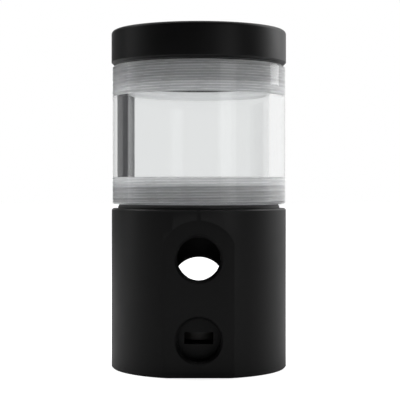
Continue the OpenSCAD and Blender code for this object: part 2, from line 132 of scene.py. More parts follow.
@dataclass(frozen=True)
class Finish:
    """What every finish has: its material's name, its colour and how its surface was made.

    Attributes:
        name: the material's name, after the real material and its making.
        colour: sRGB hex colour.
        roughness: mean roughness of the surface.
        ior: index of refraction.
        metallic: one for a metal.
        grain_mm: size of the finest surface marks, in millimetres.
        relief_mm: height of those marks, in millimetres.
        specular: strength of the reflection seen head-on; a half is what the index of refraction gives.
    """

    name: str
    colour: str
    roughness: float = 0.4
    ior: float = 1.5
    metallic: float = 0.0
    grain_mm: float = 0.4
    relief_mm: float = 0.004
    specular: float = 0.5

    def height(self, tree: bpy.types.NodeTree, coords: Any) -> Any:
        """Return the socket of the surface's height pattern, a fine even grain unless overridden.

        Args:
            tree: node tree of the material.
            coords: socket with object coordinates.

        Returns:
            A socket with values from zero to one.
        """
        return add_node(tree, "TexNoise", {"Scale": noise_scale(self.grain_mm), "Detail": 3.0},
                        {"Vector": coords}).outputs["Fac"]

    def extras(self, tree: bpy.types.NodeTree, surface: bpy.types.Node, coords: Any) -> None:
        """Add what only this finish has; the plain finish adds nothing."""

    def build(self) -> bpy.types.Material:
        """Make the material with its relief and its uneven gloss.

        Returns:
            The finished material.
        """
        material = bpy.data.materials.get(self.name)
        if material is not None:
            return material
        material = bpy.data.materials.new(self.name)
        material.use_nodes = True
        tree = material.node_tree
        surface = tree.nodes["Principled BSDF"]
        surface.inputs["Base Color"].default_value = linear(self.colour)
        surface.inputs["Metallic"].default_value = self.metallic
        if self.metallic == 0.0:
            surface.inputs["IOR"].default_value = self.ior
            surface.inputs["Specular IOR Level"].default_value = self.specular
        coords = add_node(tree, "TexCoord").outputs["Object"]
        blotches = add_node(tree, "TexNoise", {"Scale": noise_scale(BLOTCH_MM), "Detail": 4.0},
                            {"Vector": coords})
        gloss = add_node(tree, "MapRange", {"To Min": self.roughness * (1.0 - GLOSS_SPREAD),
                                            "To Max": self.roughness * (1.0 + GLOSS_SPREAD)},
                         {"Value": blotches.outputs["Fac"]})
        tree.links.new(gloss.outputs["Result"], surface.inputs["Roughness"])
        bump = add_node(tree, "Bump", {"Strength": 1.0, "Distance": self.relief_mm * MM},
                        {"Height": self.height(tree, coords)})
        tree.links.new(bump.outputs["Normal"], surface.inputs["Normal"])
        self.extras(tree, surface, coords)
        return material


@dataclass(frozen=True)
class TurnedFinish(Finish):
    """Plastic or metal turned on a lathe: fine tool lines run around the sides and ring the faces.

    Attributes:
        wobble: how far the tool lines stray from a straight run, as the texture's distortion.
        grain_share: height of the grain between the lines, against that of the lines.
    """

    wobble: float = 0.6
    grain_share: float = 0.6

    def height(self, tree: bpy.types.NodeTree, coords: Any) -> Any:
        """Return tool lines, across Z on the sides and around the axis on the flat faces.

        Args:
            tree: node tree of the material.
            coords: socket with object coordinates.

        Returns:
            A socket with values from zero to one.
        """
        lines = {"Scale": wave_scale(self.grain_mm), "Distortion": self.wobble, "Detail": 2.0}
        side = add_node(tree, "TexWave", {"wave_type": "BANDS", "bands_direction": "Z", **lines},
                        {"Vector": coords})
        face = add_node(tree, "TexWave", {"wave_type": "RINGS", "rings_direction": "Z", **lines},
                        {"Vector": coords})
        normal = add_node(tree, "NewGeometry").outputs["Normal"]
        split = add_node(tree, "SeparateXYZ", {}, {"Vector": normal})
        upright = add_node(tree, "Math", {"operation": "ABSOLUTE"}, {"0": split.outputs["Z"]})
        mix = add_node(tree, "Mix", {"data_type": "FLOAT"},
                       {"0": upright.outputs[0], "2": side.outputs["Fac"], "3": face.outputs["Fac"]})
        grain = add_node(tree, "TexNoise", {"Scale": noise_scale(self.grain_mm), "Detail": 4.0},
                         {"Vector": coords})
        both = add_node(tree, "Math", {"operation": "MULTIPLY_ADD", "1": self.grain_share},
                        {"0": grain.outputs["Fac"], "2": mix.outputs[0]})
        return both.outputs[0]


@dataclass(frozen=True)
class AcrylicFinish(Finish):
    """Cast acrylic: clear, with shadows that let the light through.

    Attributes:
        tint: sRGB hex colour of light that passed the wall.
        clear_share: share of the surface that stays clear; the rest is frosted white.
        passed_share: share of the frosted light that goes on into the wall.
    """

    tint: str = WHITE
    clear_share: float = 1.0
    passed_share: float = 0.5

    def extras(self, tree: bpy.types.NodeTree, surface: bpy.types.Node, coords: Any) -> None:
        """Make the surface transmit, frost its cut share, and let shadow rays through it.

        Args:
            tree: node tree of the material.
            surface: the material's main shader.
            coords: socket with object coordinates; not used here.
        """
        surface.inputs["Transmission Weight"].default_value = 1.0
        front = add_node(tree, "BsdfDiffuse", {"Color": linear(self.colour)})
        through = add_node(tree, "BsdfTranslucent", {"Color": linear(self.colour)})
        frost = add_node(tree, "MixShader", {"0": self.passed_share},
                         {"1": front.outputs[0], "2": through.outputs[0]})
        seen = add_node(tree, "MixShader", {"0": self.clear_share},
                        {"1": frost.outputs[0], "2": surface.outputs[0]})
        path = add_node(tree, "LightPath")
        clear = add_node(tree, "BsdfTransparent", {"Color": linear(self.tint)})
        mix = add_node(tree, "MixShader", {}, {"0": path.outputs["Is Shadow Ray"],
                                               "1": seen.outputs[0], "2": clear.outputs[0]})
        tree.links.new(mix.outputs[0], tree.nodes["Material Output"].inputs["Surface"])


@dataclass(frozen=True)
class BoardFinish(Finish):
    """Solder resist on a circuit board: tracks show as raised lines in the same green.

    Attributes:
        cell_mm: length of the texture's unit; the rows of tracks lie a quarter of it apart.
        gap_share: width of the gaps between tracks, as a share of that unit.
    """

    cell_mm: float = 6.0
    gap_share: float = 0.03

    def height(self, tree: bpy.types.NodeTree, coords: Any) -> Any:
        """Return a pattern of raised tracks in rows 1.5 mm apart.

        Args:
            tree: node tree of the material.
            coords: socket with object coordinates.

        Returns:
            A socket with values from zero to one.
        """
        return add_node(tree, "TexBrick", {"Scale": noise_scale(self.cell_mm), "Mortar Size": self.gap_share},
                        {"Vector": coords}).outputs["Fac"]


class Maker(Enum):
    """The finishes of the reservoir, each named for its real material."""

    # Acetal, turned and milled: a dense black with a soft sheen and faint tool lines. The lines are
    # 0.1 mm apart on the real part and coarsened to 0.35 mm so that they show
    BLACK_ACETAL = TurnedFinish("turned black acetal", "0B0B0C", 0.42, 1.48, 0.0, 0.35, 0.0022, 0.3)
    # Acetal thread flanks: the same black, with the glint of a sharp tool
    THREADED_ACETAL = Finish("threaded black acetal", "0D0D0E", 0.38, 1.48, 0.0, 0.5, 0.001, 0.3)
    # Cast acrylic, flame polished: clear as glass, with a very slight unevenness
    POLISHED_ACRYLIC = AcrylicFinish("polished cast acrylic", "F1F2F2", 0.012, 1.49, 0.0, 6.0, 0.004)
    # Cast acrylic as the thread tool leaves it: clear in body, frosted on its flanks
    TAPPED_ACRYLIC = AcrylicFinish("tapped cast acrylic", "ECEDEE", 0.3, 1.49, grain_mm=0.3, clear_share=0.35)
    # Nitrile rubber, moulded: a deep black with a waxy sheen
    NITRILE = Finish("moulded nitrile rubber", "0E0E0E", 0.5, 1.52, 0.0, 0.3, 0.002)
    # Glass-filled plastic of the motor can: dark grey with a fine moulded grain
    MOTOR_PLASTIC = Finish("moulded glass-filled plastic", "3A3B3F", 0.5, 1.55, 0.0, 0.25, 0.006)
    # Polyphenylene sulphide of the impeller, moulded, with a dull sheen; its nearly black tone is painted
    # shade that keeps the inside of the ports dark
    PPS_PAINTED_SHADE = Finish("moulded polyphenylene sulphide", "2A2824", 0.45, 1.6, 0.0, 0.5, 0.002)
    # Hardened steel shaft, ground: bright, with very fine rings, coarsened from 0.02 mm to show
    GROUND_STEEL = TurnedFinish("ground steel", "C9C9C6", 0.22, 1.5, 1.0, 0.12, 0.0006)
    # Stainless steel of screws and snap ring, cold formed: a pale grey with soft highlights
    STAINLESS = Finish("cold-formed stainless steel", "B7B8BA", 0.3, 1.5, 1.0, 0.4, 0.0015)
    # Bronze of the thrust washer, turned: a warm yellow with fine rings
    BRONZE = TurnedFinish("turned bronze", "B98D4E", 0.3, 1.5, 1.0, 0.2, 0.001)
    # Carbon of the bush, sintered: a dull black with small pores
    CARBON = Finish("sintered carbon", "33302E", 0.55, 1.8, 0.0, 0.15, 0.004)
    # Ferrite of the ring magnet, sintered and ground: a slate grey, nearly matt
    FERRITE = Finish("sintered ferrite", "4B4C4F", 0.5, 2.2, 0.0, 0.2, 0.003)
    # Soft iron of the yoke, sintered: a grainy grey metal with a blurred gloss
    SOFT_IRON = Finish("sintered soft iron", "8B8E92", 0.45, 1.5, 1.0, 0.2, 0.004)
    # Enamelled copper wire of the coils: reddish and glossy, ribbed by turns 0.22 mm apart
    ENAMELLED_COPPER = TurnedFinish("enamelled copper wire", "B4623A", 0.25, 1.5, 1.0, 0.22, 0.03)
    # Circuit board with solder resist: a glossy green over raised tracks
    SOLDER_RESIST = BoardFinish("solder resist on board", "1D5636", 0.3, 1.5, 0.0, 1.0, 0.01)
    # Epoxy of the board's chips, moulded: a matt black with a very fine grain
    MOULDED_EPOXY = Finish("moulded black epoxy", "222326", 0.55, 1.5, 0.0, 0.15, 0.003)

    def material(self) -> bpy.types.Material:
        """Return this finish's material, made when it is first asked for."""
        return self.value.build()


# ------------------------------------------------------------------ shapes


@dataclass(frozen=True)
class Thread:
    """A right-hand V thread on a round wall.

    Attributes:
        pitch: distance between turns, in millimetres.
        minor_r: radius at the inner flats.
        major_r: radius at the outer flats.
        flat: share of the pitch that each flat takes.
    """

    pitch: float
    minor_r: float
    major_r: float
    flat: float = 0.125

    def radius(self, angle: float, height: float) -> float:
        """Return the wall's radius at an angle and a height.

        Args:
            angle: angle around the axis, in radians.
            height: distance along the axis, in millimetres.

        Returns:
            Radius in millimetres.
        """
        phase = (height / self.pitch - angle / TURN) % 1.0
        rise = abs(phase - 0.5) * 2.0
        depth = (rise - self.flat) / (1.0 - 2.0 * self.flat)
        return self.minor_r + (self.major_r - self.minor_r) * min(1.0, max(0.0, depth))

    def rows(self, start: float, end: float, step_share: float = 1 / 14) -> list[float]:
        """Return heights from start to end, close enough to draw the thread.

        Args:
            start: first height.
            end: last height.
            step_share: step between rows as a share of the pitch.

        Returns:
            The heights, both ends included.
        """
        count = max(2, round(abs(end - start) / (self.pitch * step_share)))
        return [start + (end - start) * i / count for i in range(count + 1)]


@dataclass(frozen=True)
class Ring:
    """One ring of a turned outline.

    Attributes:
        radius: radius in millimetres, or a function of angle and height.
        height: height in millimetres.
        slot: material place of the band from this ring to the next.
    """

    radius: Radius
    height: float
    slot: int = 0


def arc(centre_r: float, centre_z: float, radius: float, start: float, end: float,
        steps: int = 6) -> list[Ring]:
    """Return rings along an arc of a turned outline.

    Args:
        centre_r: distance of the arc's centre from the axis.
        centre_z: height of the arc's centre.
        radius: radius of the arc.
        start: first angle in degrees, from the outward direction.
        end: last angle in degrees.
        steps: number of steps.

    Returns:
        The rings, both ends included.
    """
    angles = [math.radians(start + (end - start) * i / steps) for i in range(steps + 1)]
    return [Ring(centre_r + radius * math.cos(a), centre_z + radius * math.sin(a)) for a in angles]


def new_object(name: str, mesh: bpy.types.Mesh) -> bpy.types.Object:
    """Make an object in the scene.

    Args:
        name: name of the new object.
        mesh: its mesh.

    Returns:
        The new object.
    """
    piece = bpy.data.objects.new(name, mesh)
    bpy.context.scene.collection.objects.link(piece)
    return piece


def smooth(piece: bpy.types.Object, angle_deg: float = SHARP_DEG) -> None:
    """Shade a piece smoothly, with edges sharper than angle_deg kept sharp."""
    piece.data.polygons.foreach_set("use_smooth", [True] * len(piece.data.polygons))
    piece.data.set_sharp_from_angle(angle=math.radians(angle_deg))


def turned(name: str, outline: Sequence[Ring], steps: int = 256) -> bpy.types.Object:
    """Turn a closed outline around Z.

    Args:
        name: name of the new piece.
        outline: the rings in order; the last joins the first.
        steps: number of steps around the axis.

    Returns:
        The piece, in metres, with its faces pointing outwards.
    """
    angles = [TURN * j / steps for j in range(steps)]
    vertices: list[tuple[float, float, float]] = []
    for angle in angles:
        cos_a, sin_a = math.cos(angle) * MM, math.sin(angle) * MM
        for ring in outline:
            r = ring.radius(angle, ring.height) if callable(ring.radius) else ring.radius
            vertices.append((r * cos_a, r * sin_a, ring.height * MM))
    count = len(outline)
    faces: list[tuple[int, int, int, int]] = []
    slots: list[int] = []
    for j in range(steps):
        here, there = j * count, ((j + 1) % steps) * count
        for i in range(count):
            after = (i + 1) % count
            faces.append((here + i, there + i, there + after, here + after))
            slots.append(outline[i].slot)
    mesh = bpy.data.meshes.new(name)
    mesh.from_pydata(vertices, [], faces)
    mesh.polygons.foreach_set("material_index", slots)
    return close_up(new_object(name, mesh))


def close_up(piece: bpy.types.Object) -> bpy.types.Object:
    """Merge doubled points, drop flat faces and turn all faces outwards.

    Args:
        piece: a closed mesh piece.

    Returns:
        The same piece.
    """
    shape = bmesh.new()
    shape.from_mesh(piece.data)
    bmesh.ops.remove_doubles(shape, verts=shape.verts, dist=1e-7)
    bmesh.ops.dissolve_degenerate(shape, dist=1e-8, edges=shape.edges)
    bmesh.ops.recalc_face_normals(shape, faces=shape.faces)
    shape.to_mesh(piece.data)
    shape.free()
    return piece


def round_head(centre_z: float, radius: float, steps: int) -> list[tuple[float, float]]:
    """Return the X-Z points of a half circle, from its right end over the top to its left end.

    Args:
        centre_z: height of the circle's centre.
        radius: radius of the circle.
        steps: number of steps.

    Returns:
        The points in millimetres, both ends included.
    """
    angles = [math.pi * i / steps for i in range(steps + 1)]
    return [(radius * math.cos(a), centre_z + radius * math.sin(a)) for a in angles]


def prism(name: str, outline: Sequence[tuple[float, float]], y_from: float, y_to: float) -> bpy.types.Object:
    """Extrude an X-Z outline along Y.

    Args:
        name: name of the new piece.
        outline: corner points in millimetres.
        y_from: first Y in millimetres.
        y_to: second Y in millimetres.

    Returns:
        The closed piece.
    """
    count = len(outline)
    vertices = [(x * MM, y * MM, z * MM) for y in (y_from, y_to) for x, z in outline]
    faces = [tuple(range(count)), tuple(range(2 * count - 1, count - 1, -1))]
    faces += [(i, i + count, (i + 1) % count + count, (i + 1) % count) for i in range(count)]
    mesh = bpy.data.meshes.new(name)
    mesh.from_pydata(vertices, [], faces)
    return close_up(new_object(name, mesh))


def lay_along_y(piece: bpy.types.Object, height: float, outward: float) -> bpy.types.Object:
    """Turn a piece made around Z so that its axis lies along Y.

    Args:
        piece: the piece to lay down.
        height: height of its axis, in millimetres.
        outward: one for an axis along +Y, minus one for -Y.

    Returns:
        The same piece, with the turn in its mesh.
    """
    turn = Matrix.Rotation(-math.pi / 2 * outward, 4, "X")
    piece.data.transform(Matrix.Translation(Vector((0.0, 0.0, height * MM))) @ turn)
    return piece


def cut(piece: bpy.types.Object, tools: Sequence[bpy.types.Object]) -> None:
    """Cut each tool out of a piece, one after another, and delete the tools.

    Args:
        piece: the piece that is cut.
        tools: closed cutter meshes.
    """
    for tool in tools:
        modifier = piece.modifiers.new("cut", "BOOLEAN")
        modifier.operation = "DIFFERENCE"
        modifier.solver = "EXACT"
        modifier.object = tool
        bpy.context.view_layer.update()
        graph = bpy.context.evaluated_depsgraph_get()
        mesh = bpy.data.meshes.new_from_object(piece.evaluated_get(graph))
        piece.modifiers.clear()
        old = piece.data
        piece.data = mesh
        mesh.name = old.name
        bpy.data.meshes.remove(old)
        bpy.data.objects.remove(tool)


def break_edges(piece: bpy.types.Object, width_mm: float, wanted: Callable[[Vector, Vector], bool]) -> None:
    """Put a small round on chosen sharp edges, as a deburring tool leaves it.

    Args:
        piece: the piece to work on.
        width_mm: width of the round, in millimetres.
        wanted: says from an edge's two ends, in millimetres, whether it is chosen.
    """
    least_angle = math.radians(14.0)
    merge_m = 2e-6
    shape = bmesh.new()
    shape.from_mesh(piece.data)
    bmesh.ops.remove_doubles(shape, verts=shape.verts, dist=merge_m)
    chosen = [edge for edge in shape.edges
              if len(edge.link_faces) == 2 and edge.calc_face_angle(0.0) > least_angle
              and wanted(edge.verts[0].co / MM, edge.verts[1].co / MM)]
    bmesh.ops.bevel(shape, geom=chosen, offset=width_mm * MM, segments=2, profile=0.5,
                    affect="EDGES", clamp_overlap=True)
    shape.to_mesh(piece.data)
    shape.free()


def dress(piece: bpy.types.Object, body: str, finishes: Sequence[Maker]) -> bpy.types.Object:
    """Give a piece its materials and the body that it rides on.

    Args:
        piece: the finished mesh piece.
        body: name of the CAD body.
        finishes: one finish for each material place.

    Returns:
        The same piece.
    """
    for finish in finishes:
        piece.data.materials.append(finish.material())
    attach(piece, body)
    log.info("%s rides on %s", piece.name, body)
    return piece


# ------------------------------------------------------------------ sub-assemblies


@dataclass
class TankFit:
    """What base, tube and lid share: the tank thread and the heights where they meet.

    Attributes:
        base_top: height of the base's shoulder.
        tube_low: lower end of the tube.
        tube_high: upper end of the tube.
        top: top of the lid.
        plug_top: upper end of the base's plug.
        ring_low: lower end of the lid's ring.
        tapped_r: tapping radius of the tube's ends.
        plug_r: radius of the plugs in them.
        depth: depth of the thread.
        pitch: pitch of the thread.
        sink: how far a plug's thread starts below the plug's wall.
        fade: length in which a plug's thread fades out at each end.
        root: thickness of a thread piece below the plug's wall.
        end_chamfer: chamfer on the end of a plug.
        groove_in: inner radius of the tank O-rings' grooves.
        groove_out: outer radius of those grooves.
    """

    base_top: float = 45.7
    tube_low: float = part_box("tube")[0][2] / MM
    tube_high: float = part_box("tube")[1][2] / MM
    top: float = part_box("lid")[1][2] / MM
    plug_top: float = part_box("base_housing")[1][2] / MM
    ring_low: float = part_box("lid")[0][2] / MM
    tapped_r: float = 21.2
    plug_r: float = 21.1
    depth: float = 0.8
    pitch: float = 1.5
    sink: float = 0.02
    fade: float = 0.5
    root: float = 0.6
    end_chamfer: float = 0.5
    groove_in: float = 21.48
    groove_out: float = 23.32

    def female(self) -> Thread:
        """Return the thread cut into the tube."""
        return Thread(self.pitch, self.tapped_r, self.tapped_r + self.depth)

    def male(self) -> Thread:
        """Return the thread on base and lid, which follows the tube's with its clearance."""
        start = self.plug_r - self.sink
        return Thread(self.pitch, start, start + self.depth)

    def ridge(self, name: str, low: float, high: float) -> bpy.types.Object:
        """Make the thread around a plug, faded out at both ends.

        Args:
            name: name of the new piece.
            low: lower end of the plug.
            high: upper end of the plug.

        Returns:
            The closed ring of thread.
        """
        form = self.male()

        def wall(angle: float, height: float) -> float:
            """Return the ridge's radius, which sinks to the core at the ends."""
            share = min(1.0, (height - low) / self.fade, (high - height) / self.fade)
            return form.minor_r + (form.radius(angle, height) - form.minor_r) * max(0.0, share)

        outer = [Ring(wall, z) for z in form.rows(low, high)]
        core = self.plug_r - self.root
        return turned(name, outer + [Ring(core, high), Ring(core, low)])


@dataclass
class ClearTube:
    """The clear tube: polished outside and in, with a tapped zone at each end.

    Attributes:
        fit: what it shares with base and lid.
        outer_r: outside radius.
        bore_r: radius between the tapped zones.
        zone_low: depth of the lower tapped zone.
        zone_high: depth of the upper tapped zone.
        chamfer: chamfer on the outer ends.
        lead: lead-in of the threads.
        steps: steps around the axis, fine enough for the clear wall.
    """

    fit: TankFit
    outer_r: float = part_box("tube")[1][0] / MM
    bore_r: float = 20.5
    zone_low: float = 7.7
    zone_high: float = 8.5
    chamfer: float = 0.5
    lead: float = 0.6
    steps: int = 360

    def wall(self, angle: float, height: float) -> float:
        """Return the tapped wall's radius, with the lead-in at the tube's ends."""
        to_end = min(height - self.fit.tube_low, self.fit.tube_high - height)
        return max(self.fit.female().radius(angle, height), self.fit.tapped_r + self.lead - to_end)

    def outline(self) -> list[Ring]:
        """Return the tube's outline: outside up, then inside down.

        Returns:
            The rings, with slot 1 on the tapped zones.
        """
        low, high = self.fit.tube_low, self.fit.tube_high
        thread = self.fit.female()
        upper = [Ring(self.wall, z, 1) for z in thread.rows(high, high - self.zone_high)]
        lower = [Ring(self.wall, z, 1) for z in thread.rows(low + self.zone_low, low)]
        return [
            Ring(self.outer_r - self.chamfer, low), Ring(self.outer_r, low + self.chamfer),
            Ring(self.outer_r, high - self.chamfer), Ring(self.outer_r - self.chamfer, high),
            *upper, Ring(self.bore_r, high - self.zone_high),
            Ring(self.bore_r, low + self.zone_low, 1), *lower,
        ]

    def build(self) -> None:
        """Make the tube and let it stand for its CAD node."""
        piece = turned("clear_tube", self.outline(), self.steps)
        smooth(piece, THREAD_SHARP_DEG)
        dress(piece, "base", [Maker.POLISHED_ACRYLIC, Maker.TAPPED_ACRYLIC])
        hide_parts("tube")


@dataclass(frozen=True)
class ScrewHoles:
    """Blind holes on a circle, drilled from below.

    Attributes:
        circle_r: radius of the circle of holes.
        radius: radius of a hole.
        low: lower end of the cutter.
        high: end of the hole's straight wall.
        degrees: direction of each hole from +X.
        tip: height of the drill's tip.
        steps: steps around a hole.
    """

    circle_r: float
    radius: float
    low: float
    high: float
    degrees: tuple[float, ...]
    tip: float = 0.7
    steps: int = 32

    def cutters(self) -> list[bpy.types.Object]:
        """Make one cutter for each hole.

        Returns:
            The closed cutters.
        """
        tools = []
        for direction in self.degrees:
            outline = [Ring(0.0, self.low), Ring(self.radius, self.low), Ring(self.radius, self.high),
                       Ring(0.0, self.high + self.tip)]
            tool = turned("cutter", outline, self.steps)
            a = math.radians(direction)
            place = Vector((self.circle_r * math.cos(a), self.circle_r * math.sin(a), 0.0))
            tool.data.transform(Matrix.Translation(place * MM))
            tools.append(tool)
        return tools


@dataclass
class PumpBase:
    """The machined base with its ports, chamber, volute and screwed plug.

    Attributes:
        fit: what it shares with the tube.
        outer_r: outside radius.
        chamfer: chamfer on its two outer edges and on the chamber's mouth.
        side_rows: rows that keep the outside's faces short for the cutters.
        groove_depth: depth of the O-ring's groove in the shoulder.
        pad_depth: depth of the milled flat.
        pad_r: radius of the flat's round head.
        pad_round: width of the round on the flat's edges.
        low_port_z: height of the lower port.
        high_port_z: height of the upper port.
        mouth_r: radius of the front ports' mouths.
        port_thread: thread of the front ports.
        port_past: how far the upper port's cutter goes into the chamber.
        port_wall: wall between the lower port and the motor's bore.
        rear_port_z: height of the rear port.
        rear_mouth_r: radius of the rear port's mouth.
        rear_thread: thread of the rear port.
        rear_inner: distance of the rear port's inner end from the base's axis.
        rear_face: distance of its face from that axis.
        flare: how far a port's cutter widens beyond the face.
        port_steps: steps around a port.
        chamber_r: radius of the suction chamber.
        chamber_round: round at the chamber's floor.
        floor_z: height of the chamber's floor.
        eye_r: radius of the suction eye.
        eye_chamfer: chamfer on the eye's upper edge.
        web_z: underside of the web.
        volute_z: lower end of the volute.
        volute_r0: radius of the volute at its tongue.
        volute_r1: radius of the volute at its throat.
        tongue_deg: angle of the volute's tongue.
        throat_half: half the throat's width.
        throat_low: lower edge of the throat.
        throat_high: upper edge of the throat.
        throat_past: how far the throat's cutter goes past the motor's bore.
        throat_inside: how far it starts inside the volute's wall.
        motor_r: radius of the motor's bore.
        motor_chamfer: chamfer on the bore's lower edge.
        ledge_z: height of the cover's seat.
        pocket_r: radius of the cover's recess.
        mark_foot: half the width of the wedge mark at its foot.
        mark_head: half its width at its head.
        mark_depth: depth of the mark.
        mark_past: how far the mark runs past the flat and the shoulder.
        notch_top_z: height of the centre of the cable notch's round head.
        notch_half: half the notch's width.
        flange_half: half the width of the slot for the grommet's flange.
        flange_y: middle of that slot.
        flange_reach: half the slot's length along the notch.
        head_steps: steps around the notch's round head.
    """

    fit: TankFit
    outer_r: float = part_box("base_housing")[1][0] / MM
    chamfer: float = 0.4
    side_rows: int = 8
    groove_depth: float = 0.62
    pad_depth: float = 1.95
    pad_r: float = 10.6
    pad_round: float = 0.16
    low_port_z: float = 10.1
    high_port_z: float = 32.2
    mouth_r: float = 6.6
    port_thread: Thread = Thread(1.337, 5.95, 6.5, 0.12)
    port_past: float = 2.0
    port_wall: float = 1.6
    rear_port_z: float = 22.2
    rear_mouth_r: float = 9.1
    rear_thread: Thread = Thread(1.5, 8.25, 8.95, 0.12)
    rear_inner: float = 15.9
    rear_face: float = 24.55
    flare: float = 3.0
    port_steps: int = 128
    chamber_r: float = 18.0
    chamber_round: float = 2.0
    floor_z: float = 18.5
    eye_r: float = 5.0
    eye_chamfer: float = 1.0
    web_z: float = 16.0
    volute_z: float = 8.2
    volute_r0: float = 12.3
    volute_r1: float = 14.6
    tongue_deg: float = 292.0
    throat_half: float = 4.0
    throat_low: float = 8.4
    throat_high: float = 11.7
    throat_past: float = 2.2
    throat_inside: float = 2.0
    motor_r: float = 15.0
    motor_chamfer: float = 0.5
    ledge_z: float = 2.3
    pocket_r: float = 19.85
    mark_foot: float = 0.62
    mark_head: float = 0.28
    mark_depth: float = 0.35
    mark_past: float = 0.3
    notch_top_z: float = 3.37
    notch_half: float = 2.0
    flange_half: float = 3.2
    flange_y: float = 18.175
    flange_reach: float = 0.7
    head_steps: int = 24

    @property
    def pad_y(self) -> float:
        """Return the place of the milled flat."""
        return self.pad_depth - self.outer_r

    def volute(self, angle: float, height: float) -> float:
        """Return the volute's radius, which grows once around from the tongue."""
        swept = (math.degrees(angle) - self.tongue_deg) % 360.0
        return self.volute_r0 + (self.volute_r1 - self.volute_r0) * swept / 360.0

    def outline(self) -> list[Ring]:
        """Return the turned outline: outside up to the plug, then the inside down.

        Returns:
            The rings of the closed outline.
        """
        fit = self.fit
        top, shoulder = fit.plug_top, fit.base_top
        groove_z = shoulder - self.groove_depth
        return [
            Ring(self.outer_r - self.chamfer, 0.0), Ring(self.outer_r, self.chamfer),
            *[Ring(self.outer_r, shoulder * i / self.side_rows) for i in range(1, self.side_rows)],
            Ring(self.outer_r, shoulder - self.chamfer), Ring(self.outer_r - self.chamfer, shoulder),
            Ring(fit.groove_out, shoulder), Ring(fit.groove_out, groove_z),
            Ring(fit.groove_in, groove_z), Ring(fit.groove_in, shoulder),
            Ring(fit.plug_r, shoulder), Ring(fit.plug_r, top - fit.end_chamfer),
            Ring(fit.plug_r - fit.end_chamfer, top),
            Ring(self.chamber_r + self.chamfer, top), Ring(self.chamber_r, top - self.chamfer),
            *arc(self.chamber_r - self.chamber_round, self.floor_z + self.chamber_round,
                 self.chamber_round, 0.0, -90.0),
            Ring(self.eye_r + self.eye_chamfer, self.floor_z),
            Ring(self.eye_r, self.floor_z - self.eye_chamfer),
            Ring(self.eye_r, self.web_z), Ring(self.volute, self.web_z), Ring(self.volute, self.volute_z),
            Ring(self.motor_r, self.volute_z), Ring(self.motor_r, self.ledge_z + self.motor_chamfer),
            Ring(self.motor_r + self.motor_chamfer, self.ledge_z),
            Ring(self.pocket_r, self.ledge_z), Ring(self.pocket_r, 0.0),
        ]

    def port_cutter(self, thread: Thread, mouth_r: float, inner: float, face: float) -> bpy.types.Object:
        """Make the cutter of one tapped port, standing on Z.

        Args:
            thread: the port's thread.
            mouth_r: radius of its mouth at the face.
            inner: distance of its inner end from the axis of the base.
            face: distance of the face from that axis.

        Returns:
            The closed cutter.
        """
        def wall(angle: float, height: float) -> float:
            """Return the thread's radius, opened by the countersink near the face."""
            return max(thread.radius(angle, height), mouth_r - (face - height))

        outer = face + self.flare
        row_gap = 0.02
        outline = [Ring(wall, z) for z in thread.rows(inner, face - row_gap, 1 / 12)]
        outline += [Ring(mouth_r, face), Ring(mouth_r + self.flare, outer)]
        return turned("cutter", [Ring(0.0, inner), *outline, Ring(0.0, outer)], self.port_steps)

    def pad_cutter(self) -> bpy.types.Object:
        """Make the cutter of the milled flat with its round head.

        Returns:
            The closed cutter.
        """
        below, outwards = -1.0, 4.0
        outline = [(-self.pad_r, below), (self.pad_r, below), *round_head(self.high_port_z, self.pad_r, 64)]
        return prism("cutter", outline, self.pad_y, self.pad_y - outwards)

    def mark_cutter(self) -> bpy.types.Object:
        """Make the cutter of the engraved wedge above the flat.

        Returns:
            The closed cutter.
        """
        low = self.high_port_z + self.pad_r - self.mark_past
        high = self.fit.base_top + self.mark_past
        outline = [(-self.mark_foot, low), (self.mark_foot, low),
                   (self.mark_head, high), (-self.mark_head, high)]
        return prism("cutter", outline, self.mark_depth - self.outer_r, -self.outer_r - 1.0)

    def notch_cutters(self) -> list[bpy.types.Object]:
        """Make the cutters of the cable notch and of its grommet's flange.

        Returns:
            The closed cutters.
        """
        def outline(half: float, low: float) -> list[tuple[float, float]]:
            """Return a slot outline with a round head."""
            return [(-half, low), (half, low), *round_head(self.notch_top_z, half, self.head_steps)]

        return [prism("cutter", outline(self.notch_half, -1.0), self.motor_r - 1.0, self.outer_r + 1.0),
                prism("cutter", outline(self.flange_half, self.ledge_z - 0.1),
                      self.flange_y - self.flange_reach, self.flange_y + self.flange_reach)]

    def hole_cutters(self) -> list[bpy.types.Object]:
        """Make the cutters of the cover screws' and the mounting screws' holes.

        Returns:
            The closed cutters.
        """
        below = 0.5
        cover = ScrewHoles(circle_r=17.425, radius=1.22, low=self.ledge_z - below, high=10.2,
                           degrees=(45.0, 135.0, 225.0, 315.0))
        mount = ScrewHoles(circle_r=22.5, radius=1.25, low=-below, high=8.0,
                           degrees=(30.0, 150.0, 210.0, 330.0))
        return cover.cutters() + mount.cutters()

    def throat_cutter(self) -> bpy.types.Object:
        """Make the cutter of the throat between the volute and the lower port.

        Returns:
            The closed cutter.
        """
        half, low, high = self.throat_half, self.throat_low, self.throat_high
        outline = [(-half, low), (half, low), (half, high), (-half, high)]
        outer_y = -self.motor_r - self.throat_past
        return prism("cutter", outline, outer_y, -self.volute_r0 + self.throat_inside)

    def is_pad_edge(self, a: Vector, b: Vector) -> bool:
        """Say whether an edge borders the milled flat.

        Args:
            a: one end of the edge, in millimetres.
            b: its other end.

        Returns:
            True at the flat's two upright rims and where its round head meets the outside.
        """
        close, near, past_ports = 0.01, 0.05, 8.0
        on_flat = all(abs(p.y - self.pad_y) < close and p.z > near for p in (a, b))
        upright = abs(a.x) > past_ports and abs(b.x) > past_ports and abs(a.x - b.x) < near
        on_round = all(abs(math.hypot(p.x, p.z - self.high_port_z) - self.pad_r) < close
                       and abs(math.hypot(p.x, p.y) - self.outer_r) < near
                       and p.z > self.high_port_z for p in (a, b))
        return on_round or (on_flat and upright)

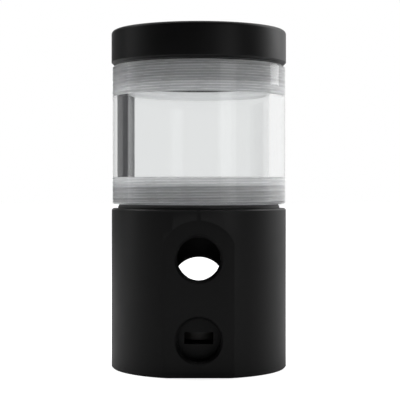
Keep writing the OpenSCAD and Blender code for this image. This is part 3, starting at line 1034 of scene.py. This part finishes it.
    def build(self) -> None:
        """Turn the base, cut its ports and pockets, and let it stand for its CAD node."""
        piece = turned("pump_base", self.outline())
        upper = self.port_cutter(self.port_thread, self.mouth_r, self.chamber_r - self.port_past, -self.pad_y)
        lower = self.port_cutter(self.port_thread, self.mouth_r, self.motor_r + self.port_wall, -self.pad_y)
        rear = self.port_cutter(self.rear_thread, self.rear_mouth_r, self.rear_inner, self.rear_face)
        cut(piece, [self.pad_cutter(), lay_along_y(upper, self.high_port_z, -1.0),
                    lay_along_y(lower, self.low_port_z, -1.0), lay_along_y(rear, self.rear_port_z, 1.0),
                    self.throat_cutter(), self.mark_cutter(), *self.notch_cutters(), *self.hole_cutters()])
        break_edges(piece, self.pad_round, self.is_pad_edge)
        smooth(piece)
        dress(piece, "base", [Maker.BLACK_ACETAL])
        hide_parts("base_housing")
        ridge = self.fit.ridge("base_plug_thread", self.fit.tube_low + 0.1, self.fit.plug_top - 0.2)
        smooth(ridge, THREAD_SHARP_DEG)
        dress(ridge, "base", [Maker.THREADED_ACETAL])


@dataclass
class ScrewedLid:
    """The lid with its screwed ring and its tapped fill port.

    Attributes:
        fit: what it shares with the tube.
        outer_r: outside radius.
        low_z: lower face of the lid.
        round_r: round on the top edge.
        chamfer: chamfer on the lower edge.
        groove_depth: depth of the O-ring's groove in the lower face.
        ring_r: inner radius of the screwed ring.
        hollow_z: roof of the hollow in the ring.
        seat_z: seat of the fill plug's head.
        head_r: radius of the recess for that head.
        head_chamfer: chamfer on that recess.
        fill_thread: thread of the fill port.
    """

    fit: TankFit
    outer_r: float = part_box("lid")[1][0] / MM
    low_z: float = 86.9
    round_r: float = 1.1
    chamfer: float = 0.7
    groove_depth: float = 1.47
    ring_r: float = 17.9
    hollow_z: float = 88.5
    seat_z: float = 94.1
    head_r: float = 9.1
    head_chamfer: float = 0.3
    fill_thread: Thread = Thread(1.337, 5.9, 6.5, 0.12)

    def outline(self) -> list[Ring]:
        """Return the lid's outline: ring, outside, top, fill port and hollow.

        Returns:
            The rings of the closed outline.
        """
        fit = self.fit
        ring_low, top = fit.ring_low, fit.top
        groove_z = self.low_z + self.groove_depth
        bore = [Ring(self.fill_thread.radius, z) for z in self.fill_thread.rows(self.seat_z, self.hollow_z)]
        return [
            Ring(self.ring_r, ring_low), Ring(fit.plug_r - fit.end_chamfer, ring_low),
            Ring(fit.plug_r, ring_low + fit.end_chamfer),
            Ring(fit.plug_r, self.low_z), Ring(fit.groove_in, self.low_z), Ring(fit.groove_in, groove_z),
            Ring(fit.groove_out, groove_z), Ring(fit.groove_out, self.low_z),
            Ring(self.outer_r - self.chamfer, self.low_z), Ring(self.outer_r, self.low_z + self.chamfer),
            *arc(self.outer_r - self.round_r, top - self.round_r, self.round_r, 0.0, 90.0),
            Ring(self.head_r + self.head_chamfer, top), Ring(self.head_r, top - self.head_chamfer),
            Ring(self.head_r, self.seat_z),
            *bore, Ring(self.ring_r, self.hollow_z),
        ]

    def build(self) -> None:
        """Turn the lid and its thread, and let it stand for its CAD node."""
        piece = turned("screw_lid", self.outline())
        smooth(piece)
        dress(piece, "lid", [Maker.BLACK_ACETAL])
        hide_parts("lid")
        ridge = self.fit.ridge("lid_ring_thread", self.fit.ring_low + 0.2, self.fit.tube_high - 0.2)
        smooth(ridge, THREAD_SHARP_DEG)
        dress(ridge, "lid", [Maker.THREADED_ACETAL])


@dataclass
class CarriedParts:
    """The pieces whose CAD shape is right and that only need their finish.

    Attributes:
        finishes: finish for each name or start of a name.
    """

    finishes: dict[str, Maker] = field(default_factory=lambda: {
        "base_oring": Maker.NITRILE, "lid_oring": Maker.NITRILE, "fill_plug_oring": Maker.NITRILE,
        "motor_can_oring": Maker.NITRILE, "cable_grommet": Maker.NITRILE,
        "motor_can": Maker.MOTOR_PLASTIC, "fill_plug": Maker.BLACK_ACETAL,
        "bottom_cover": Maker.BLACK_ACETAL, "shaft_clip": Maker.STAINLESS, "shaft": Maker.GROUND_STEEL,
        # the impeller's nearly black tone is painted shade for the inside of the ports
        "thrust_washer": Maker.BRONZE, "impeller_bush": Maker.CARBON, "impeller": Maker.PPS_PAINTED_SHADE,
        "ring_magnet": Maker.FERRITE, "stator_yoke": Maker.SOFT_IRON, "coil_": Maker.ENAMELLED_COPPER,
        "circuit_board": Maker.SOLDER_RESIST, "driver_chip": Maker.MOULDED_EPOXY,
        "hall_sensor": Maker.MOULDED_EPOXY, "smoothing_capacitor": Maker.MOULDED_EPOXY,
        "cover_screw_": Maker.STAINLESS,
    })

    def finish_of(self, node: str) -> Maker:
        """Return the finish whose name fits the node best.

        Args:
            node: name of a CAD node.

        Returns:
            The finish of the longest fitting name.
        """
        fitting = [name for name in self.finishes if node.startswith(name)]
        return self.finishes[max(fitting, key=len)]

    def build(self) -> None:
        """Give every carried CAD node its finish."""
        for name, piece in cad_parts.items():
            if name in ("tube", "lid", "base_housing"):
                continue
            material = self.finish_of(name).material()
            for place in piece.material_slots:
                place.material = material
            log.info("%s keeps its CAD shape in %s", name, material.name)


# ------------------------------------------------------------------ studio and camera


@dataclass(frozen=True)
class Softbox:
    """One rectangular lamp.

    Attributes:
        name: name of the lamp.
        azimuth: direction seen from the object, in degrees; 0 is the camera's side, 90 is +X.
        elevation: height angle in degrees.
        distance: distance from the object in metres.
        width: width in metres.
        height: height in metres.
        radiance: brightness of its face.
    """

    name: str
    azimuth: float
    elevation: float
    distance: float
    width: float
    height: float
    radiance: float

    def build(self, aim: Vector) -> None:
        """Make the lamp, turned towards the aim point.

        Args:
            aim: point that the lamp faces.
        """
        lamp = bpy.data.lights.new(self.name, "AREA")
        lamp.shape = "RECTANGLE"
        lamp.size = self.width
        lamp.size_y = self.height
        lamp.energy = self.radiance * math.pi * self.width * self.height
        holder = bpy.data.objects.new(self.name, lamp)
        bpy.context.scene.collection.objects.link(holder)
        a, e = math.radians(self.azimuth), math.radians(self.elevation)
        away = Vector((math.sin(a) * math.cos(e), -math.cos(a) * math.cos(e), math.sin(e)))
        holder.location = aim + away * self.distance
        holder.rotation_euler = (-away).to_track_quat("-Z", "Y").to_euler()


@dataclass(frozen=True)
class Studio:
    """A white sweep behind the object, soft lamps, a grey flag and the floor.

    Attributes:
        floor_half: half the floor's side in metres.
        floor_tone: sRGB hex colour of the floor's paper.
        floor_glow: light that the floor adds where it is seen straight or through the tube.
        flag_radius: distance of the flag from the object in metres.
        flag_from: first azimuth of the flag in degrees, from +Y towards -X.
        flag_to: last azimuth of the flag.
        flag_low: lower edge of the flag in metres.
        flag_high: upper edge of the flag in metres.
        flag_tone: sRGB hex colour of the flag's card.
        front_glow: brightness of the room behind the camera.
        rear_glow: brightness with which the white sweep lights the object.
        sweep_start: forward share of a direction at which the sweep begins to brighten.
        sweep_full: forward share from which it is fully bright.
        lamps: the soft lamps.
    """

    floor_half: float = 3.0
    floor_tone: str = "F2F2F2"
    floor_glow: float = 0.82
    flag_radius: float = 0.5
    flag_from: float = 24.0
    flag_to: float = 75.0
    flag_low: float = -0.1
    flag_high: float = 0.6
    flag_tone: str = "6A6A6C"
    front_glow: float = 0.04
    rear_glow: float = 0.8
    sweep_start: float = -0.1
    sweep_full: float = 0.5
    lamps: tuple[Softbox, ...] = (
        Softbox("front_softbox", 38.0, 10.0, 0.60, 0.22, 0.50, 0.9),
        Softbox("right_softbox", 118.0, 30.0, 0.60, 0.25, 0.50, 2.1),
        Softbox("left_softbox", -118.0, 30.0, 0.60, 0.25, 0.50, 2.7),
        Softbox("top_softbox", 180.0, 84.0, 0.60, 0.50, 0.50, 0.8),
    )

    def flat_mesh(self, name: str, corners: Sequence[tuple[float, float, float]]) -> bpy.types.Object:
        """Return a stage object with one face.

        Args:
            name: name of the object.
            corners: its corner points in metres.

        Returns:
            The staged object.
        """
        mesh = bpy.data.meshes.new(name)
        mesh.from_pydata(list(corners), [], [tuple(range(len(corners)))])
        piece = new_object(name, mesh)
        return piece

    def floor(self) -> None:
        """Lay the white floor; it keeps the object's shadow."""
        s = self.floor_half
        piece = self.flat_mesh("floor", [(-s, -s, 0.0), (s, -s, 0.0), (s, s, 0.0), (-s, s, 0.0)])
        material = bpy.data.materials.new("white paper floor")
        material.use_nodes = True
        tree = material.node_tree
        tree.nodes.clear()
        paper = add_node(tree, "BsdfDiffuse", {"Color": linear(self.floor_tone)})
        glow = add_node(tree, "Emission", {"Color": linear(WHITE), "Strength": self.floor_glow})
        both = add_node(tree, "AddShader", {}, {"0": paper.outputs[0], "1": glow.outputs[0]})
        path = add_node(tree, "LightPath")
        seen = add_node(tree, "Math", {"operation": "MAXIMUM"},
                        {"0": path.outputs["Is Camera Ray"], "1": path.outputs["Is Transmission Ray"]})
        mix = add_node(tree, "MixShader", {},
                       {"0": seen.outputs[0], "1": paper.outputs[0], "2": both.outputs[0]})
        add_node(tree, "OutputMaterial", {}, {"Surface": mix.outputs[0]})
        piece.data.materials.append(material)

    def flag(self) -> None:
        """Stand the grey flag that draws the dark line in the tube's edge."""
        points = []
        for degrees, z in ((self.flag_from, self.flag_low), (self.flag_to, self.flag_low),
                           (self.flag_to, self.flag_high), (self.flag_from, self.flag_high)):
            a = math.radians(degrees)
            points.append((-self.flag_radius * math.sin(a), self.flag_radius * math.cos(a), z))
        piece = self.flat_mesh("black_flag", points)
        material = bpy.data.materials.new("grey card")
        material.use_nodes = True
        surface = material.node_tree.nodes["Principled BSDF"]
        surface.inputs["Base Color"].default_value = linear(self.flag_tone)
        surface.inputs["Roughness"].default_value = 0.9
        piece.data.materials.append(material)
        piece.visible_camera = False
        piece.visible_shadow = False
        piece.visible_diffuse = False

    def world(self) -> None:
        """Make the room: white past and through the object, softer where it lights the object."""
        world = bpy.data.worlds.new("studio")
        bpy.context.scene.world = world
        world.use_nodes = True
        tree = world.node_tree
        tree.nodes.clear()
        direction = add_node(tree, "TexCoord").outputs["Generated"]
        split = add_node(tree, "SeparateXYZ", {}, {"Vector": direction})
        rear = add_node(tree, "MapRange", {"interpolation_type": "SMOOTHSTEP", "From Min": self.sweep_start,
                                           "From Max": self.sweep_full},
                        {"Value": split.outputs["Y"]})
        glow = add_node(tree, "MapRange", {"To Min": self.front_glow, "To Max": self.rear_glow},
                        {"Value": rear.outputs["Result"]})
        path = add_node(tree, "LightPath")
        mirrored = add_node(tree, "Math", {"operation": "MULTIPLY"},
                            {"0": path.outputs["Is Glossy Ray"], "1": rear.outputs["Result"]})
        direct = add_node(tree, "Math", {"operation": "MAXIMUM"},
                          {"0": path.outputs["Is Camera Ray"], "1": path.outputs["Is Transmission Ray"]})
        seen = add_node(tree, "Math", {"operation": "MAXIMUM"},
                        {"0": direct.outputs[0], "1": mirrored.outputs[0]})
        lit = add_node(tree, "Background", {"Color": linear(WHITE)}, {"Strength": glow.outputs["Result"]})
        white = add_node(tree, "Background", {"Color": linear(WHITE), "Strength": 1.0})
        mix = add_node(tree, "MixShader", {},
                       {"0": seen.outputs[0], "1": lit.outputs[0], "2": white.outputs[0]})
        add_node(tree, "OutputWorld", {}, {"Surface": mix.outputs[0]})

    def build(self) -> None:
        """Set up floor, flag, room and lamps."""
        self.world()
        self.floor()
        self.flag()
        aim = Vector((0.0, 0.0, (CAD_BOX[0][2] + CAD_BOX[1][2]) / 2))
        for lamp in self.lamps:
            lamp.build(aim)


@dataclass(frozen=True)
class ProductCamera:
    """A level camera in front of the ports.

    Attributes:
        distance: distance from the reservoir's axis in metres.
        height: height above the floor in metres.
        lens: focal length in millimetres.
        sensor: width of the sensor in millimetres.
        aside: small step to the right, in metres.
        shift: vertical lens shift that frames the object.
        clear_bounces: bounces of light through the clear tube and its threads.
        gloss_bounces: bounces of light between glossy faces.
    """

    distance: float = 0.357
    height: float = 0.05235
    lens: float = 110.97
    sensor: float = 36.0
    aside: float = 0.00035
    shift: float = -0.0375
    clear_bounces: int = 24
    gloss_bounces: int = 8

    def build(self) -> None:
        """Make the camera and the render's colour transform."""
        data = bpy.data.cameras.new("product_camera")
        data.sensor_width = self.sensor
        data.lens = self.lens
        data.shift_y = self.shift
        data.clip_start = 0.01
        holder = bpy.data.objects.new("product_camera", data)
        bpy.context.scene.collection.objects.link(holder)
        holder.location = (self.aside, -self.distance, self.height)
        holder.rotation_euler = (math.pi / 2, 0.0, 0.0)
        scene = bpy.context.scene
        scene.camera = holder
        scene.view_settings.view_transform = "Standard"
        scene.cycles.max_bounces = self.clear_bounces
        scene.cycles.transmission_bounces = self.clear_bounces
        scene.cycles.transparent_max_bounces = self.clear_bounces
        scene.cycles.glossy_bounces = self.gloss_bounces


def main() -> None:
    """Build the reservoir's pieces in order, then the studio around them."""
    logging.basicConfig(level=logging.INFO, format="%(name)s: %(message)s")
    ProductCamera().build()
    fit = TankFit()
    PumpBase(fit).build()
    ClearTube(fit).build()
    ScrewedLid(fit).build()
    CarriedParts().build()
    Studio().build()


if __name__ == "__main__":
    main()
